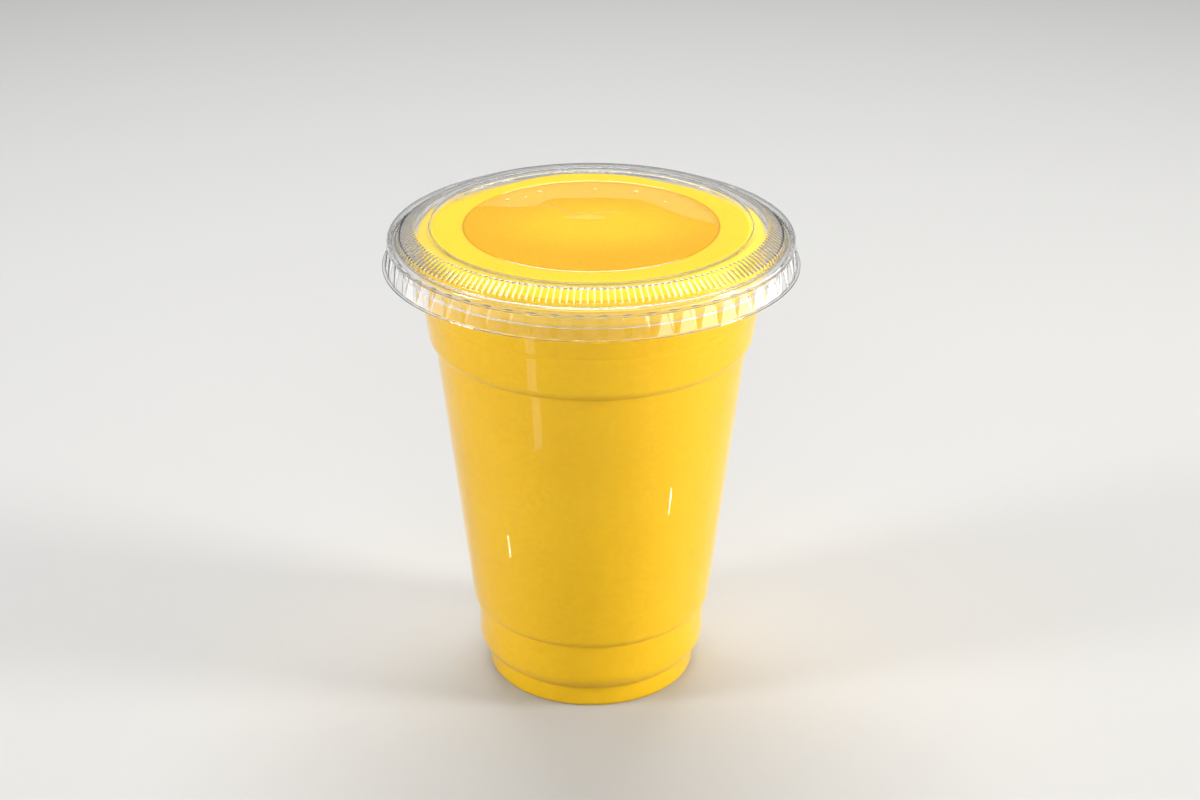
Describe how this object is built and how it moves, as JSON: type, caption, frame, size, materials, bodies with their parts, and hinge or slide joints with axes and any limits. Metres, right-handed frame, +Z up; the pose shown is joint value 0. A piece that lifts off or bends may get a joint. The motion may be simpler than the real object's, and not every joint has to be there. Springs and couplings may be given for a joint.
{
  "type": "mango smoothie in lidded takeaway cup",
  "caption": "Thick yellow fruit drink in a clear tapered takeaway cup, filled up to a clear flat press-on lid with a ribbed shoulder and fluted skirt.",
  "frame": {"origin": "centre of the foot's lowest ring, on the surface that the cup stands on", "axes": "+Z up along the axis of the cup; the piece is round about it"},
  "size_m": [0.102, 0.102, 0.1221],
  "materials": {
    "cup_plastic": "clear thermoformed plastic, glossy and smooth, thin enough that the drink behind it sets its colour",
    "lid_plastic": "clear thermoformed plastic, glossy, with bright edges on its ribs, flutes and bead",
    "mango_drink": "opaque thick mango puree, even golden yellow with soft paler and deeper patches, wet against the plastic"
  },
  "bodies": {
    "root": {"cup": "cup_plastic", "lid": "lid_plastic", "smoothie": "mango_drink"}
  },
  "joints": []
}
